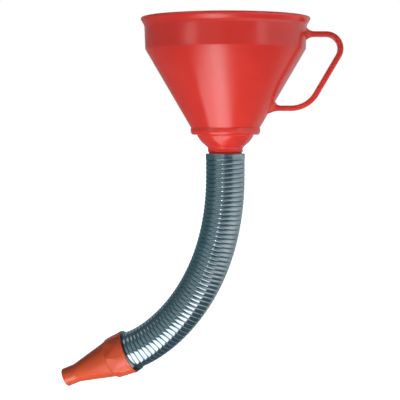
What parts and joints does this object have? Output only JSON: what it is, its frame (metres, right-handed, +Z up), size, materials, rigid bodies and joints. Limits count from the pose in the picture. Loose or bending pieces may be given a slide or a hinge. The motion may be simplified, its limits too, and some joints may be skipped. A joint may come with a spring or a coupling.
{
  "type": "funnel",
  "caption": "Fluid funnel: conical plastic bowl with a side strap handle, lift-out strainer, and a flexible wound-metal spout that bends and ends in a tapered plastic nozzle.",
  "frame": {"origin": "centre of the bowl's mouth, on the plane of the rim's top", "axes": "+Z up the bowl's axis, out of the mouth; +X from the bowl towards the handle; the spout bends towards -X, its bending plane turned 11.5 degrees about +Z from the XZ plane at rest"},
  "size_m": [0.2687, 0.159, 0.3536],
  "materials": {
    "bowl_plastic": "semi-gloss moulded polyethylene, red",
    "nozzle_plastic": "semi-gloss moulded polyethylene, orange-red",
    "spout_steel": "galvanised wound strip, smooth and reflective",
    "ferrule_steel": "galvanised, rolled band",
    "strainer_brass": "pressed ring",
    "strainer_gauze": "woven gauze"
  },
  "bodies": {
    "bowl": {"funnel_bowl": "bowl_plastic", "handle": "bowl_plastic"},
    "strainer": {"strainer_ring": "strainer_brass", "strainer_gauze": "strainer_gauze"},
    "spout_top": {"spout_top_ferrule": "ferrule_steel", "spout_link_01": "spout_steel"},
    "spout_link_02": {"spout_link_02": "spout_steel"},
    "spout_link_03": {"spout_link_03": "spout_steel"},
    "spout_link_04": {"spout_link_04": "spout_steel"},
    "spout_link_05": {"spout_link_05": "spout_steel"},
    "spout_link_06": {"spout_link_06": "spout_steel"},
    "spout_link_07": {"spout_link_07": "spout_steel"},
    "spout_link_08": {"spout_link_08": "spout_steel"},
    "spout_link_09": {"spout_link_09": "spout_steel"},
    "spout_link_10": {"spout_link_10": "spout_steel"},
    "spout_link_11": {"spout_link_11": "spout_steel"},
    "spout_link_12": {"spout_link_12": "spout_steel"},
    "spout_link_13": {"spout_link_13": "spout_steel"},
    "spout_link_14": {"spout_link_14": "spout_steel"},
    "spout_link_15": {"spout_link_15": "spout_steel"},
    "spout_link_16": {"spout_link_16": "spout_steel"},
    "outlet": {"spout_link_17": "spout_steel", "spout_end_ferrule": "ferrule_steel", "outlet_nozzle": "nozzle_plastic"}
  },
  "joints": [
    {"name": "strainer_lift", "type": "slide", "parent": "bowl", "child": "strainer", "axis": [0, 0, 1], "range_m": [0, 0.12]},
    {"name": "spout_swivel", "type": "hinge", "parent": "bowl", "child": "spout_top", "pos_m": [0, 0, -0.1395], "axis": [0, 0, 1], "continuous": true},
    {"name": "spout_bend", "type": "hinge", "parent": "spout_top", "child": "spout_link_02", "pos_m": [0, 0, -0.1525], "axis": [0.1994, 0.9799, 0], "range_deg": [-2.8, 0.42]},
    {"name": "spout_bend_02", "type": "hinge", "parent": "spout_link_02", "child": "spout_link_03", "pos_m": [-0.0006, 0.00012, -0.16513], "axis": [0.1994, 0.9799, 0], "range_deg": [-2.94, 0.48]},
    {"name": "spout_bend_03", "type": "hinge", "parent": "spout_link_03", "child": "spout_link_04", "pos_m": [-0.00183, 0.00037, -0.17771], "axis": [0.1994, 0.9799, 0], "range_deg": [-3.05, 0.5]},
    {"name": "spout_bend_04", "type": "hinge", "parent": "spout_link_04", "child": "spout_link_05", "pos_m": [-0.0037, 0.00075, -0.19021], "axis": [0.1994, 0.9799, 0], "range_deg": [-3.17, 0.52]},
    {"name": "spout_bend_05", "type": "hinge", "parent": "spout_link_05", "child": "spout_link_06", "pos_m": [-0.00624, 0.00127, -0.20259], "axis": [0.1994, 0.9799, 0], "range_deg": [-3.3, 0.54]},
    {"name": "spout_bend_06", "type": "hinge", "parent": "spout_link_06", "child": "spout_link_07", "pos_m": [-0.00945, 0.00192, -0.2148], "axis": [0.1994, 0.9799, 0], "range_deg": [-3.44, 0.56]},
    {"name": "spout_bend_07", "type": "hinge", "parent": "spout_link_07", "child": "spout_link_08", "pos_m": [-0.01337, 0.00272, -0.2268], "axis": [0.1994, 0.9799, 0], "range_deg": [-3.58, 0.58]},
    {"name": "spout_bend_08", "type": "hinge", "parent": "spout_link_08", "child": "spout_link_09", "pos_m": [-0.01801, 0.00366, -0.23852], "axis": [0.1994, 0.9799, 0], "range_deg": [-3.74, 0.6]},
    {"name": "spout_bend_09", "type": "hinge", "parent": "spout_link_09", "child": "spout_link_10", "pos_m": [-0.02338, 0.00476, -0.24992], "axis": [0.1994, 0.9799, 0], "range_deg": [-3.9, 0.63]},
    {"name": "spout_bend_10", "type": "hinge", "parent": "spout_link_10", "child": "spout_link_11", "pos_m": [-0.02948, 0.006, -0.26093], "axis": [0.1994, 0.9799, 0], "range_deg": [-4.08, 0.66]},
    {"name": "spout_bend_11", "type": "hinge", "parent": "spout_link_11", "child": "spout_link_12", "pos_m": [-0.03633, 0.00739, -0.27147], "axis": [0.1994, 0.9799, 0], "range_deg": [-4.3, 0.69]},
    {"name": "spout_bend_12", "type": "hinge", "parent": "spout_link_12", "child": "spout_link_13", "pos_m": [-0.04392, 0.00894, -0.28146], "axis": [0.1994, 0.9799, 0], "range_deg": [-4.58, 0.73]},
    {"name": "spout_bend_13", "type": "hinge", "parent": "spout_link_13", "child": "spout_link_14", "pos_m": [-0.05227, 0.01063, -0.2908], "axis": [0.1994, 0.9799, 0], "range_deg": [-4.97, 0.79]},
    {"name": "spout_bend_14", "type": "hinge", "parent": "spout_link_14", "child": "spout_link_15", "pos_m": [-0.06137, 0.01249, -0.29939], "axis": [0.1994, 0.9799, 0], "range_deg": [-5.53, 0.87]},
    {"name": "spout_bend_15", "type": "hinge", "parent": "spout_link_15", "child": "spout_link_16", "pos_m": [-0.07123, 0.01449, -0.30704], "axis": [0.1994, 0.9799, 0], "range_deg": [-6.37, 1]},
    {"name": "spout_bend_16", "type": "hinge", "parent": "spout_link_16", "child": "outlet", "pos_m": [-0.08186, 0.01665, -0.31354], "axis": [0.1994, 0.9799, 0], "range_deg": [-7.65, 1.19]}
  ],
  "couplings": [
    {"joint": "spout_bend_02", "follows": "spout_bend", "ratio": 1.0305},
    {"joint": "spout_bend_03", "follows": "spout_bend", "ratio": 1.07},
    {"joint": "spout_bend_04", "follows": "spout_bend", "ratio": 1.1139},
    {"joint": "spout_bend_05", "follows": "spout_bend", "ratio": 1.1609},
    {"joint": "spout_bend_06", "follows": "spout_bend", "ratio": 1.2104},
    {"joint": "spout_bend_07", "follows": "spout_bend", "ratio": 1.2623},
    {"joint": "spout_bend_08", "follows": "spout_bend", "ratio": 1.3169},
    {"joint": "spout_bend_09", "follows": "spout_bend", "ratio": 1.3756},
    {"joint": "spout_bend_10", "follows": "spout_bend", "ratio": 1.4412},
    {"joint": "spout_bend_11", "follows": "spout_bend", "ratio": 1.5192},
    {"joint": "spout_bend_12", "follows": "spout_bend", "ratio": 1.6192},
    {"joint": "spout_bend_13", "follows": "spout_bend", "ratio": 1.7569},
    {"joint": "spout_bend_14", "follows": "spout_bend", "ratio": 1.9573},
    {"joint": "spout_bend_15", "follows": "spout_bend", "ratio": 2.258},
    {"joint": "spout_bend_16", "follows": "spout_bend", "ratio": 2.7143}
  ]
}
